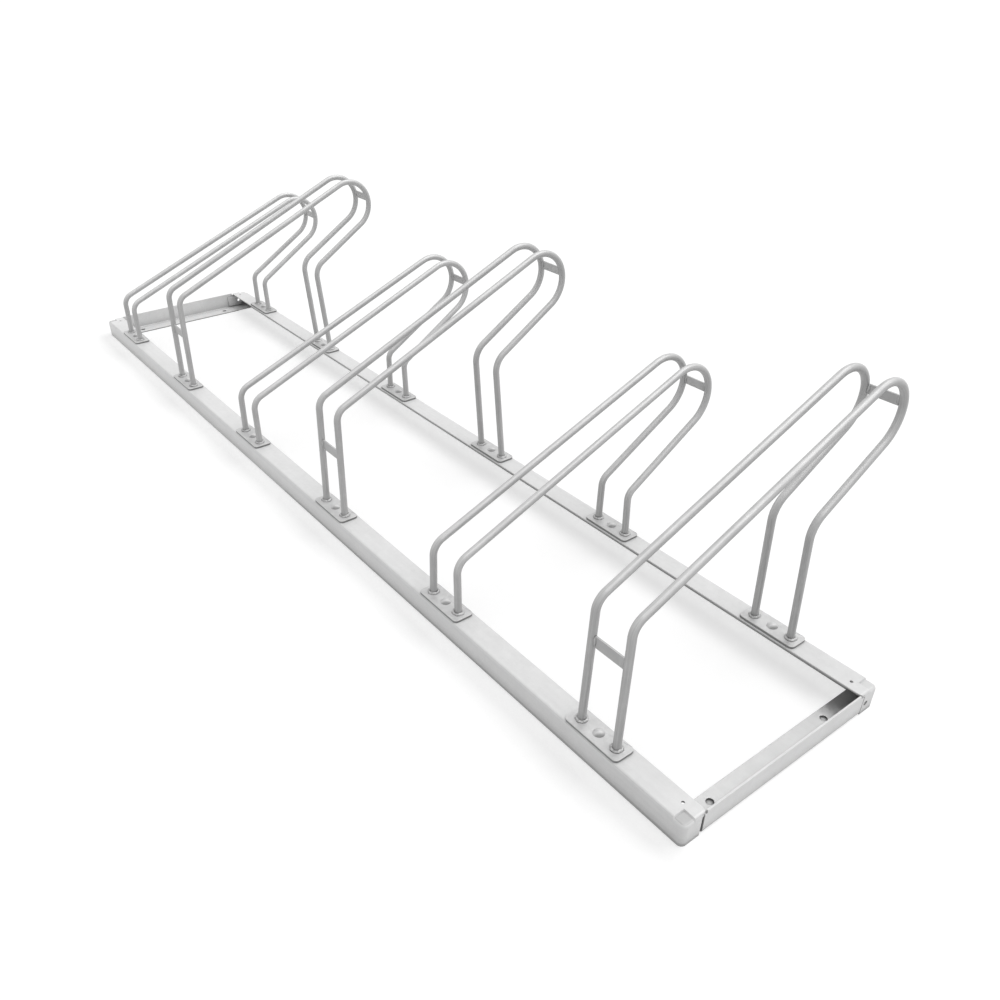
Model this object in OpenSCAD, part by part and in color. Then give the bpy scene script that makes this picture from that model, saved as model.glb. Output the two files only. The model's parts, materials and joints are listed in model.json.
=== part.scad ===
// Floor-standing bicycle rack for six bicycles.
// Two folded sheet rails and two folded cross-members make the floor frame.
// Low and tall wheel holders alternate along it, each bent from two round rods.
// X runs along the rails, the front rail is at -Y, and the floor is z = 0.

/* [Frame] */
// distance between neighbouring wheel holders, mm
pitch = 350; // [250:1:500]
// from the last holder's centre to the end of the frame, mm
end_overhang = 170; // [120:1:250]
// depth of the frame over both rails, mm
frame_depth = 400; // [360:1:460]
// width of a rail's top, mm
rail_w = 40; // [38:1:50]
// height of a rail, mm
rail_h = 40; // [36:1:60]
// thickness of the folded sheet, mm
sheet_t = 3; // [2:0.5:3]
// outer radius of the fold along a rail, mm
fold_r = 5; // [4:0.5:6]
// outer radius of the upright fold at a rail's end, mm
end_fold_r = 8; // [6:0.5:9]
// side of the pressed-down pad in a rail's outer corners, mm
pad_w = 20; // [16:0.5:22]
// how far that pad lies below the rail's top, mm
pad_drop = 2.5; // [1.5:0.25:2.5]
// radius at the inner corners of a rail's top, mm
rail_corner_r = 8; // [7:0.5:9]
// how far a rail's end flap reaches from the outer face, mm
flap_w = 32; // [31:0.5:33]
// diameter of the drain hole near each end of a rail's top, mm
drain_d = 5; // [3:0.5:6]
// drain hole's distance from the rail's end, mm
drain_from_end = 27; // [22:1:34]
// drain hole's distance from the rail's outer face, mm
drain_from_face = 26; // [18:1:28]

/* [Cross-members] */
// width of a cross-member's floor flange, mm
cross_w = 40; // [36:1:60]
// how far the tab behind the web's end reaches into the rail, mm
tab_l = 26; // [24:0.5:28]
// how far that tab laps the web, mm
tab_lap = 16; // [10:1:30]
// diameter of the floor anchor holes, mm
anchor_d = 11; // [8:0.5:14]
// anchor hole's distance from the frame's end, mm
anchor_from_end = 25; // [20:0.5:28]
// anchor hole's distance from the rail's inner edge, mm
anchor_from_rail = 40.5; // [20:0.5:80]
// diameter of the hole through the rear flap and tab, mm
flap_hole_d = 8.5; // [6:0.5:10]
// that hole's distance from the rear face, mm
flap_hole_from_face = 24; // [20:0.5:25]
// that hole's height above the floor, mm
flap_hole_z = 18; // [14:0.5:22]

/* [Wheel holders] */
// diameter of the rods, mm
rod_d = 12; // [10:0.5:14]
// distance between the two rods at the feet, mm
foot_spacing = 67; // [60:0.5:72]
// distance between a tall holder's rods at the top, mm
tall_top_spacing = 60; // [50:0.5:60]
// distance between a low holder's rods at the top, mm
low_top_spacing = 56; // [50:0.5:60]
// tall holder: the front bend is this far behind the front foot, mm
tall_front_in = 6.5; // [2:0.5:20]
// tall holder: height of the front bend, mm
tall_front_z = 244; // [225:1:260]
// tall holder: radius of the front bend, mm
tall_front_r = 26; // [18:1:40]
// tall holder: the rear bend is this far before the rear foot, mm
tall_rear_in = 15.5; // [2:0.5:25]
// tall holder: height of the rear bend, mm
tall_rear_z = 248; // [230:1:265]
// tall holder: radius of the rear bend, mm
tall_rear_r = 38; // [18:1:50]
// tall holder: the top bend's centre is this far behind the rear foot, mm
tall_top_out = 90; // [70:1:110]
// tall holder: height of the top bend's centre, mm
tall_top_z = 375; // [355:1:395]
// tall holder: radius of the top bend, mm
tall_top_r = 53; // [45:1:60]
// low holder: the front bend is this far behind the front foot, mm
low_front_in = 1.5; // [0:0.5:15]
// low holder: height of the front bend, mm
low_front_z = 133.5; // [120:0.5:145]
// low holder: radius of the front bend, mm
low_front_r = 28; // [18:1:40]
// low holder: the rear bend is this far before the rear foot, mm
low_rear_in = 0.5; // [0:0.5:15]
// low holder: height of the rear bend, mm
low_rear_z = 123.5; // [110:0.5:135]
// low holder: radius of the rear bend, mm
low_rear_r = 22; // [18:1:35]
// low holder: the top bend's centre is this far behind the rear foot, mm
low_top_out = 120; // [100:1:140]
// low holder: height of the top bend's centre, mm
low_top_z = 263.5; // [250:0.5:280]
// low holder: radius of the top bend, mm
low_top_r = 56; // [45:1:62]

/* [Ties] */
// thickness of the flat bars between the rods, mm
tie_t = 3; // [2:0.5:5]
// width of the flat bar at the top, mm
top_tie_w = 15; // [10:1:20]
// place of a tall holder's top tie along the bend, degrees above level
tall_tie_angle = 12; // [0:1:25]
// place of a low holder's top tie along the bend, degrees above level
low_tie_angle = 4; // [0:1:25]
// width of the flat bar across the front legs, mm
front_tie_w = 18; // [10:1:25]
// height of the front tie on the second and fourth holders, mm
front_tie_z = 162; // [120:1:190]
// height of the front tie on the last holder, mm
last_front_tie_z = 183; // [120:1:190]

/* [Foot plates] */
// length of a foot plate, mm
plate_l = 100; // [92:1:120]
// width of a foot plate, mm
plate_w = 36; // [30:1:38]
// thickness of a foot plate, mm
plate_t = 4; // [3:0.5:6]
// radius at a foot plate's corners, mm
plate_corner_r = 7; // [2:0.5:10]
// leg of the weld round each rod's foot, mm
weld_leg = 3.5; // [2:0.5:5]
// diameter of the plate bolts, mm
bolt_d = 8; // [6:1:10]
// diameter of a bolt's dome head, mm
head_d = 17; // [15:0.5:19]
// height of a bolt's dome head, mm
head_h = 5; // [3:0.5:6]
// width of a nut over its flats, mm
nut_af = 13; // [12:1:16]
// height of a nut, mm
nut_h = 6.5; // [5:0.5:8]
// diameter of a washer, mm
washer_d = 16; // [15:0.5:19]
// thickness of a washer, mm
washer_t = 1.6; // [1:0.1:2]
// how far a bolt's end stands out of its nut, mm
bolt_out = 3; // [1:0.5:6]

/* [Clearances] */
// play of the plate bolts in the plates and rails, mm
bolt_play = 0.5; // [0.3:0.1:0.8]
// gap between a nut's or washer's bore and the bolt, mm
bore_gap = 0.15; // [0.1:0.05:0.3]
// gap at welded joints between round and flat pieces, mm
weld_gap = 0.2; // [0.1:0.05:0.5]
// gap between the cross-members and the rails' inner faces, mm
seat_gap = 0.5; // [0.3:0.1:1]
// gap between the full height of a cross-member's web and the rail, mm
web_gap = 1; // [0.5:0.5:3]
// gap between the web's front end and the front rail's flap, mm
front_joint = 5; // [3:0.5:6]
// gap between the web's rear end and the rear rail's flap, mm
rear_joint = 1; // [0.5:0.5:3]

/* [Hidden] */

$fn = 64;
holders = 6;
left = -1;
right = 1;
zinc = "#c4c7ca";
zinc_light = "#d6d8da";
zinc_dark = "#9ea2a6";

// how far two shapes that become one piece run into each other
lap = 1;
// how much thinner a bend is than the straight rod it joins
bend_thin = 0.05;
// how far a cutting shape stands out of what it cuts
overrun = 1;

frame_l = (holders - 1) * pitch + 2 * end_overhang;
end_x = frame_l / 2;
face_y = frame_depth / 2;
inner_y = face_y - rail_w;
foot_y = face_y - rail_w / 2;
foot_span = 2 * foot_y;
plate_top = rail_h + plate_t;
flange_under = rail_h - sheet_t;
fold_z = rail_h - fold_r;
pad_top = rail_h - pad_drop;
pad_fold_z = pad_top - fold_r;
pad_x = end_x - pad_w;
pad_y = face_y - pad_w;
web_end_y = inner_y - web_gap;
web_low_top = fold_z - seat_gap;
flap_end_y = face_y - flap_w;
web_front_y = -flap_end_y + front_joint;
web_rear_y = flap_end_y - rear_joint;
tab_top = pad_fold_z - seat_gap;
tab_x = end_x - sheet_t;
neck_h = plate_t - bolt_play;
nut_top = flange_under - washer_t;
bolt_end = nut_top - nut_h - bolt_out;

// flat helpers

module quarter_ring(outer_r) {
  difference() {
    intersection() {
      circle(outer_r);
      translate([-outer_r, 0]) square(outer_r);
    }
    circle(outer_r - sheet_t);
  }
}

// a fold's section, with short legs that run into the flats beside it
module fold_section(outer_r, down, along) {
  quarter_ring(outer_r);
  if (down > 0)
    translate([-outer_r, -down]) square([sheet_t, down]);
  if (along > 0)
    translate([0, outer_r - sheet_t]) square([along, sheet_t]);
}

module rounded_plate(l, w, r) {
  difference() {
    square([l, w], center = true);
    for (x = [-1, 1], y = [-1, 1])
      translate([x * (l / 2 - r), y * (w / 2 - r)])
        difference() {
          translate([x * (r + overrun) / 2, y * (r + overrun) / 2])
            square(r + overrun, center = true);
          circle(r);
        }
  }
}

// places along the frame

module at_holder(n) {
  translate([(n - (holders + 1) / 2) * pitch, -foot_y, 0]) children();
}

module at_bolts() {
  for (n = [1 : holders], y = [0, foot_span])
    at_holder(n) translate([0, y, 0]) children();
}

// rails: drawn as the front one, its outer face at -Y

// plan outline of a rail's top, with its inner corners rounded
module rail_plan() {
  difference() {
    translate([0, -face_y + rail_w / 2])
      square([frame_l, rail_w], center = true);
    for (side = [left, right])
      translate([side * (end_x - rail_corner_r), -inner_y - rail_corner_r])
        difference() {
          translate([side * (rail_corner_r + overrun) / 2, (rail_corner_r + overrun) / 2])
            square(rail_corner_r + overrun, center = true);
          circle(rail_corner_r);
        }
  }
}

module rail_flange() {
  translate([0, 0, flange_under])
    linear_extrude(sheet_t) difference() {
      intersection() {
        rail_plan();
        polygon([
          [-end_x + fold_r, -face_y + fold_r],
          [end_x - fold_r, -face_y + fold_r],
          [end_x - fold_r, -inner_y + overrun],
          [-end_x + fold_r, -inner_y + overrun]
        ]);
      }
      for (side = [left, right])
        translate([side * end_x, -face_y])
          square(2 * pad_w, center = true);
    }
}

// the fold along the rail's outer edge, between its corner pads
module rail_fold() {
  translate([-pad_x, -face_y + fold_r, fold_z])
    rotate([90, 0, 90])
      linear_extrude(2 * pad_x) fold_section(fold_r, lap, lap);
}

module rail_web() {
  translate([-end_x + end_fold_r, -face_y, 0])
    cube([frame_l - 2 * end_fold_r, sheet_t, pad_fold_z]);
  translate([-pad_x, -face_y, 0])
    cube([2 * pad_x, sheet_t, fold_z]);
}

// the top's end, folded down into the flap beside the corner pad
module rail_end_fold() {
  intersection() {
    translate([end_x - fold_r, -inner_y, fold_z])
      rotate([90, 0, 0])
        linear_extrude(pad_y - inner_y) mirror([1, 0]) fold_section(fold_r, 0, lap);
    linear_extrude(rail_h + overrun) rail_plan();
  }
  translate([end_x - fold_r, -flap_end_y, fold_z])
    rotate([90, 0, 0])
      linear_extrude(pad_y - flap_end_y) mirror([1, 0]) fold_section(fold_r, lap, 0);
  translate([end_x - sheet_t, -pad_y, 0])
    cube([sheet_t, pad_y - flap_end_y, fold_z]);
}

// the pad and its rounded edges, all at the right end
module rail_pad() {
  bend_x = end_x - end_fold_r;
  bend_y = -face_y + end_fold_r;
  translate([bend_x, bend_y, 0]) {
    linear_extrude(pad_fold_z)
      rotate(90) mirror([0, 1]) quarter_ring(end_fold_r);
    translate([0, 0, pad_fold_z])
      rotate([0, 0, -90])
        rotate_extrude(angle = 90)
          translate([end_fold_r - fold_r, 0]) mirror([1, 0]) fold_section(fold_r, lap, 0);
  }
  translate([pad_x - sheet_t, -face_y + fold_r, pad_fold_z])
    rotate([90, 0, 90])
      linear_extrude(pad_w + sheet_t - end_fold_r) fold_section(fold_r, lap, lap);
  translate([end_x - fold_r, -pad_y + sheet_t, pad_fold_z])
    rotate([90, 0, 0])
      linear_extrude(pad_w + sheet_t - end_fold_r) mirror([1, 0]) fold_section(fold_r, lap, lap);
  translate([end_x - sheet_t, bend_y, 0])
    cube([sheet_t, pad_w - end_fold_r, pad_fold_z]);
  translate([0, 0, pad_top - sheet_t])
    linear_extrude(sheet_t) {
      translate([pad_x - sheet_t, -face_y + fold_r])
        square([pad_w + sheet_t - end_fold_r, pad_w + sheet_t - fold_r]);
      translate([bend_x - overrun, bend_y])
        square([end_fold_r - fold_r + overrun, pad_w + sheet_t - end_fold_r]);
      translate([bend_x, bend_y]) circle(end_fold_r - fold_r);
    }
  rail_pad_wall();
}

// the wall between the pad and the top, which runs up into the top
module rail_pad_wall() {
  side = pad_w + sheet_t - fold_r;
  translate([0, 0, pad_top - sheet_t])
    linear_extrude(pad_drop + sheet_t / 2) difference() {
      translate([pad_x - sheet_t, -face_y + fold_r]) square(side);
      translate([pad_x, -face_y]) square(pad_w);
    }
}

module rail_end(side, hole) {
  mirror([side == left ? 1 : 0, 0, 0]) difference() {
    union() {
      rail_end_fold();
      rail_pad();
    }
    if (hole)
      translate([end_x, -face_y + flap_hole_from_face, flap_hole_z])
        rotate([0, 90, 0])
          cylinder(h = 2 * sheet_t + 2 * overrun, d = flap_hole_d, center = true);
  }
}

module rail(hole) {
  color(zinc_light) difference() {
    union() {
      rail_flange();
      rail_fold();
      rail_web();
      for (side = [left, right])
        rail_end(side, hole);
    }
    for (side = [left, right])
      translate([side * (end_x - drain_from_end), -face_y + drain_from_face, flange_under - overrun])
        cylinder(h = sheet_t + 2 * overrun, d = drain_d);
    for (n = [1 : holders])
      at_holder(n) translate([0, 0, flange_under - overrun])
        cylinder(h = sheet_t + 2 * overrun, d = bolt_d + 2 * bolt_play);
  }
}

module front_rail() {
  rail(false);
}

module rear_rail() {
  mirror([0, 1, 0]) rail(true);
}

// cross-members: drawn as the right one, its outer face at +X

module cross_flange() {
  reach = face_y - sheet_t - seat_gap;
  cut = end_fold_r;
  linear_extrude(sheet_t) polygon([
    [end_x - cross_w, -reach],
    [tab_x - cut, -reach],
    [tab_x, cut - reach],
    [tab_x, web_front_y],
    [end_x - fold_r, web_front_y],
    [end_x - fold_r, web_rear_y],
    [tab_x, web_rear_y],
    [tab_x, reach - cut],
    [tab_x - cut, reach],
    [end_x - cross_w, reach]
  ]);
}

module cross_fold() {
  translate([end_x - fold_r, web_rear_y, fold_r])
    rotate([90, 0, 0])
      linear_extrude(web_rear_y - web_front_y) rotate(180) fold_section(fold_r, lap, lap);
}

module cross_web() {
  translate([end_x - sheet_t, web_front_y, fold_r])
    cube([sheet_t, web_rear_y - web_front_y, web_low_top - fold_r]);
  translate([end_x - sheet_t, -web_end_y, fold_r])
    cube([sheet_t, 2 * web_end_y, rail_h - fold_r]);
}

// a tab lapped behind the web's end, which enters the rail behind its flap
module cross_tab(side) {
  translate([tab_x - sheet_t, side * (inner_y + (tab_l - tab_lap) / 2), (fold_r + tab_top) / 2])
    translate([sheet_t / 2, 0, 0])
      cube([sheet_t, tab_l + tab_lap, tab_top - fold_r], center = true);
  // where it laps the web, the two sheets are one
  translate([tab_x, side * (inner_y - tab_lap + web_end_y) / 2, (fold_r + tab_top) / 2])
    cube([sheet_t, web_end_y - inner_y + tab_lap, tab_top - fold_r], center = true);
}

module cross_member() {
  color(zinc_light) difference() {
    union() {
      cross_flange();
      cross_fold();
      cross_web();
      for (side = [-1, 1])
        cross_tab(side);
    }
    for (side = [-1, 1])
      translate([end_x - anchor_from_end, side * (inner_y - anchor_from_rail), -overrun])
        cylinder(h = sheet_t + 2 * overrun, d = anchor_d);
    translate([end_x, face_y - flap_hole_from_face, flap_hole_z])
      rotate([0, 90, 0])
        cylinder(h = 4 * sheet_t + 2 * overrun, d = flap_hole_d, center = true);
  }
}

module right_cross_member() {
  cross_member();
}

module left_cross_member() {
  mirror([1, 0, 0]) cross_member();
}

// wheel holders: profile points are [distance behind the front foot, height]

function front_foot() = [0, plate_top];
function rear_foot() = [foot_span, plate_top];
function front_corner(tall) =
  tall ? [tall_front_in, tall_front_z] : [low_front_in, low_front_z];
function rear_corner(tall) =
  tall ? [foot_span - tall_rear_in, tall_rear_z] : [foot_span - low_rear_in, low_rear_z];
function top_centre(tall) =
  tall ? [foot_span + tall_top_out, tall_top_z] : [foot_span + low_top_out, low_top_z];
function top_r(tall) = tall ? tall_top_r : low_top_r;
function front_r(tall) = tall ? tall_front_r : low_front_r;
function rear_r(tall) = tall ? tall_rear_r : low_rear_r;
function top_spacing(tall) = tall ? tall_top_spacing : low_top_spacing;
function tie_angle(tall) = tall ? tall_tie_angle : low_tie_angle;
function lean(tall) =
  asin((foot_spacing - top_spacing(tall)) / 2 / (top_centre(tall).y - plate_top));

function size(v) = sqrt(v * v);
function unit(v) = v / size(v);
function bearing(from, to) = atan2(to.y - from.y, to.x - from.x);
function wrap(a) = a - 360 * floor(a / 360);
function on_circle(c, r, a) = c + r * [cos(a), sin(a)];
// where the line from a point touches a circle, as a bearing from its centre
function touch(p, c, r, way) = bearing(c, p) + way * acos(r / size(p - c));
// a rounded corner: half its angle, where it starts, and its centre
function half_angle(p, q, s) = acos(unit(p - q) * unit(s - q)) / 2;
function corner_start(p, q, s, r) = q + unit(p - q) * r / tan(half_angle(p, q, s));
function corner_centre(p, q, s, r) =
  q + unit(unit(p - q) + unit(s - q)) * r / sin(half_angle(p, q, s));

module upright() {
  rotate([90, 0, 90]) children();
}

module straight(p, q) {
  upright() translate(p) rotate([0, 90, bearing(p, q)])
    translate([0, 0, -lap])
      cylinder(h = size(q - p) + 2 * lap, d = rod_d);
}

module bend(c, r, start, sweep) {
  upright() translate(c) rotate(start)
    rotate_extrude(angle = sweep)
      translate([r, 0]) circle(d = rod_d - 2 * bend_thin);
}

module corner_bend(p, q, s, r) {
  c = corner_centre(p, q, s, r);
  a = bearing(c, corner_start(p, q, s, r));
  b = bearing(c, corner_start(s, q, p, r));
  if (wrap(b - a) < 180)
    bend(c, r, a, wrap(b - a));
  else
    bend(c, r, b, wrap(a - b));
}

module bent_rod(tall) {
  f = front_foot();
  a = front_corner(tall);
  b = rear_corner(tall);
  g = rear_foot();
  c = top_centre(tall);
  up = touch(a, c, top_r(tall), -1);
  down = touch(b, c, top_r(tall), 1);
  p = on_circle(c, top_r(tall), up);
  q = on_circle(c, top_r(tall), down);
  straight(f, corner_start(f, a, p, front_r(tall)));
  corner_bend(f, a, p, front_r(tall));
  straight(corner_start(p, a, f, front_r(tall)), p);
  bend(c, top_r(tall), down, wrap(up - down));
  straight(q, corner_start(q, b, g, rear_r(tall)));
  corner_bend(q, b, g, rear_r(tall));
  straight(corner_start(g, b, q, rear_r(tall)), g);
}

module rod(n, side) {
  tall = n % 2 == 0;
  color(zinc) at_holder(n) difference() {
    translate([side * foot_spacing / 2, 0, plate_top])
      rotate([0, -side * lean(tall), 0])
        translate([0, 0, -plate_top])
          union() bent_rod(tall);
    for (y = [0, foot_span])
      translate([side * foot_spacing / 2, y, plate_top - rod_d / 2])
        cube([2 * rod_d, 2 * rod_d, rod_d], center = true);
  }
}

// half the free width between a holder's rods at a height
function half_free(tall, z) =
  foot_spacing / 2 - (z - plate_top) * tan(lean(tall)) - rod_d / 2 / cos(lean(tall)) - weld_gap;

module tie(tall, y, z, w) {
  low_half = half_free(tall, z - w / 2);
  high_half = half_free(tall, z + w / 2);
  color(zinc_dark) translate([0, y + tie_t / 2, z])
    rotate([90, 0, 0])
      linear_extrude(tie_t) polygon([
        [-low_half, -w / 2],
        [low_half, -w / 2],
        [high_half, w / 2],
        [-high_half, w / 2]
      ]);
}

module top_tie(n) {
  tall = n % 2 == 0;
  middle = on_circle(top_centre(tall), top_r(tall), tie_angle(tall));
  at_holder(n) tie(tall, middle.x, middle.y, top_tie_w);
}

module front_tie(n, z) {
  rise_share = (z - plate_top) / (tall_front_z - plate_top);
  at_holder(n) tie(true, tall_front_in * rise_share, z, front_tie_w);
}

// foot plates and their bolts

module foot_plate() {
  color(zinc) difference() {
    union() {
      translate([0, 0, rail_h])
        linear_extrude(plate_t) rounded_plate(plate_l, plate_w, plate_corner_r);
      for (side = [left, right])
        translate([side * foot_spacing / 2, 0, plate_top - lap])
          cylinder(
            h = weld_leg + lap,
            d1 = rod_d + 2 * weld_leg + 2 * lap,
            d2 = rod_d + 4 * weld_gap
          );
    }
    for (side = [left, right])
      translate([side * foot_spacing / 2, 0, plate_top])
        cylinder(h = weld_leg + overrun, d = rod_d + 2 * weld_gap);
    translate([0, 0, rail_h + plate_t / 2])
      cube([bolt_d + 2 * bore_gap, bolt_d + 2 * bore_gap, plate_t + 2 * overrun], center = true);
  }
}

module front_plate(n) {
  at_holder(n) foot_plate();
}

module rear_plate(n) {
  at_holder(n) translate([0, foot_span, 0]) foot_plate();
}

module dome_head() {
  ball_r = (head_d * head_d / 4 + head_h * head_h) / (2 * head_h);
  rotate_extrude()
    intersection() {
      translate([0, head_h - ball_r]) circle(ball_r);
      square([head_d / 2, head_h]);
    }
}

module plate_bolt() {
  translate([0, 0, plate_top]) dome_head();
  translate([0, 0, plate_top - neck_h / 2])
    cube([bolt_d, bolt_d, neck_h], center = true);
  translate([0, 0, bolt_end])
    cylinder(h = plate_top - neck_h - bolt_end, d = bolt_d);
}

module ring(height, bore_d) {
  difference() {
    children();
    translate([0, 0, -overrun])
      cylinder(h = height + 2 * overrun, d = bore_d);
  }
}

module plate_bolts() {
  color(zinc_light) at_bolts() plate_bolt();
}

module plate_washers() {
  color(zinc) at_bolts() translate([0, 0, nut_top])
    ring(washer_t, bolt_d + 2 * bolt_play) cylinder(h = washer_t, d = washer_d);
}

module plate_nuts() {
  color(zinc_dark) at_bolts() translate([0, 0, nut_top - nut_h])
    ring(nut_h, bolt_d + 2 * bore_gap)
      cylinder(h = nut_h, d = nut_af / cos(30), $fn = 6);
}

module holder_1_left_rod() rod(1, left);
module holder_1_right_rod() rod(1, right);
module holder_1_front_plate() front_plate(1);
module holder_1_rear_plate() rear_plate(1);
module holder_1_top_tie() top_tie(1);
module holder_2_left_rod() rod(2, left);
module holder_2_right_rod() rod(2, right);
module holder_2_front_plate() front_plate(2);
module holder_2_rear_plate() rear_plate(2);
module holder_2_top_tie() top_tie(2);
module holder_2_front_tie() front_tie(2, front_tie_z);
module holder_3_left_rod() rod(3, left);
module holder_3_right_rod() rod(3, right);
module holder_3_front_plate() front_plate(3);
module holder_3_rear_plate() rear_plate(3);
module holder_3_top_tie() top_tie(3);
module holder_4_left_rod() rod(4, left);
module holder_4_right_rod() rod(4, right);
module holder_4_front_plate() front_plate(4);
module holder_4_rear_plate() rear_plate(4);
module holder_4_top_tie() top_tie(4);
module holder_4_front_tie() front_tie(4, front_tie_z);
module holder_5_left_rod() rod(5, left);
module holder_5_right_rod() rod(5, right);
module holder_5_front_plate() front_plate(5);
module holder_5_rear_plate() rear_plate(5);
module holder_5_top_tie() top_tie(5);
module holder_6_left_rod() rod(6, left);
module holder_6_right_rod() rod(6, right);
module holder_6_front_plate() front_plate(6);
module holder_6_rear_plate() rear_plate(6);
module holder_6_top_tie() top_tie(6);
module holder_6_front_tie() front_tie(6, last_front_tie_z);

front_rail();
rear_rail();
left_cross_member();
right_cross_member();
holder_1_left_rod();
holder_1_right_rod();
holder_1_front_plate();
holder_1_rear_plate();
holder_1_top_tie();
holder_2_left_rod();
holder_2_right_rod();
holder_2_front_plate();
holder_2_rear_plate();
holder_2_top_tie();
holder_2_front_tie();
holder_3_left_rod();
holder_3_right_rod();
holder_3_front_plate();
holder_3_rear_plate();
holder_3_top_tie();
holder_4_left_rod();
holder_4_right_rod();
holder_4_front_plate();
holder_4_rear_plate();
holder_4_top_tie();
holder_4_front_tie();
holder_5_left_rod();
holder_5_right_rod();
holder_5_front_plate();
holder_5_rear_plate();
holder_5_top_tie();
holder_6_left_rod();
holder_6_right_rod();
holder_6_front_plate();
holder_6_rear_plate();
holder_6_top_tie();
holder_6_front_tie();
plate_bolts();
plate_washers();
plate_nuts();
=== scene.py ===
"""Galvanised floor bicycle rack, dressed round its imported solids."""

import json
import math

import bmesh
import bpy
from mathutils import Matrix, Vector

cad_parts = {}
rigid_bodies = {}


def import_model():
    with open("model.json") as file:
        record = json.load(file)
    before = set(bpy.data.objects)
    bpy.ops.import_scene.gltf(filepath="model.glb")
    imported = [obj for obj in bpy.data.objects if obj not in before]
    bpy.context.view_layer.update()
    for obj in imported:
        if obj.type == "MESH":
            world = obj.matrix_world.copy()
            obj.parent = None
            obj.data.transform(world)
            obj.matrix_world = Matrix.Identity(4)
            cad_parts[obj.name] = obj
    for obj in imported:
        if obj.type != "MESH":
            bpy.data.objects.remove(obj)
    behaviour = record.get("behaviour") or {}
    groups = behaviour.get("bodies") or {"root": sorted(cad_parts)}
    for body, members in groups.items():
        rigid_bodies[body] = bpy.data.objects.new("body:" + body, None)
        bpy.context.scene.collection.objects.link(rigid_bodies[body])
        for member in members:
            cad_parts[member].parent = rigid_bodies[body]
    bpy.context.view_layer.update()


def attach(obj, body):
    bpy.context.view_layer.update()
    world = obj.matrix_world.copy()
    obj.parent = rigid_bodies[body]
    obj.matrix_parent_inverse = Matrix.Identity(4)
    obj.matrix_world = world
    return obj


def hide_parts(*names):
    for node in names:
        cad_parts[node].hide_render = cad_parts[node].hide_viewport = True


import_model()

# camera ------------------------------------------------------------------

CAMERA_AT = Vector((1.429958, -0.788070, 0.907389))
CAMERA_AZIMUTH = math.radians(52.538)
CAMERA_DROP = math.radians(35.291)
CAMERA_ROLL = math.radians(0.056)
FOCAL_PX = 880.721
CENTRE_PX = (488.888, 553.289)
PHOTO_PX = 1000


def place_camera():
    az, drop, roll = CAMERA_AZIMUTH, CAMERA_DROP, CAMERA_ROLL
    ahead = Vector((-math.sin(az) * math.cos(drop), math.cos(az) * math.cos(drop), -math.sin(drop)))
    level = Vector((math.cos(az), math.sin(az), 0))
    above = level.cross(ahead)
    side = math.cos(roll) * level + math.sin(roll) * above
    up = -math.sin(roll) * level + math.cos(roll) * above
    lens = bpy.data.cameras.new("photo_camera")
    lens.sensor_width = 36
    lens.lens = FOCAL_PX / PHOTO_PX * lens.sensor_width
    lens.shift_x = (PHOTO_PX / 2 - CENTRE_PX[0]) / PHOTO_PX
    lens.shift_y = (CENTRE_PX[1] - PHOTO_PX / 2) / PHOTO_PX
    lens.clip_end = 100
    camera = bpy.data.objects.new("photo_camera", lens)
    bpy.context.collection.objects.link(camera)
    turn = Matrix((side, up, -ahead)).transposed().to_4x4()
    camera.matrix_world = Matrix.Translation(CAMERA_AT) @ turn
    bpy.context.scene.camera = camera


place_camera()
bpy.context.scene.view_settings.view_transform = "Standard"

# sizes, as in the solids -------------------------------------------------

MM = 0.001
PITCH = 350 * MM
HOLDERS = range(1, 7)
MIDDLE = 3.5
END_X = 1045 * MM
FACE_Y = 200 * MM
RAIL = 40 * MM
SHEET = 3 * MM
FOLD_R = 5 * MM
END_FOLD_R = 8 * MM
PAD = 20 * MM
PAD_DROP = 2.5 * MM
PAD_SLOPE = 1.5 * MM
RAIL_CORNER_R = 8 * MM
FLAP = 32 * MM
DRAIN_R = 2.5 * MM
DRAIN_FROM_END = 27 * MM
DRAIN_FROM_FACE = 26 * MM
CROSS = 40 * MM
TAB_FROM_Y = 144 * MM
TAB_END_Y = 186 * MM
TAB_TOP = 32 * MM
WEB_END_Y = 159 * MM
WEB_FRONT_Y = -163 * MM
WEB_REAR_Y = 167 * MM
WEB_LOW_TOP = 34.5 * MM
CROSS_REACH = 196.5 * MM
ANCHOR_R = 5.5 * MM
ANCHOR_FROM_END = 25 * MM
ANCHOR_Y = 119.5 * MM
FLAP_HOLE_R = 4.25 * MM
FLAP_HOLE_FROM_FACE = 24 * MM
FLAP_HOLE_Z = 18 * MM
ROD_R = 6 * MM
BEND_THIN = 0.06 * MM
FOOT_HALF = 33.5 * MM
FOOT_Y = 180 * MM
PLATE = (100 * MM, 36 * MM, 4 * MM)
PLATE_CORNER_R = 7 * MM
PLATE_TOP = 44 * MM
BOLT_R = 4 * MM
BOLT_HOLE_R = 4.5 * MM
HEAD_R = 8.5 * MM
HEAD_H = 5 * MM
NECK_H = 3.5 * MM
WASHER_R = 8 * MM
WASHER_T = 1.6 * MM
NUT_HALF = 6.5 * MM
NUT_H = 6.5 * MM
NUT_TOP = 35.4 * MM
BOLT_END = 25.9 * MM
TIE_T = 3 * MM
TIE_GAP = 0.2 * MM
NUT_GAP = 0.15 * MM
NECK_GAP = 0.15 * MM
WELD_LEG = 3.5 * MM

# sizes of the looks alone ------------------------------------------------

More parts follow.
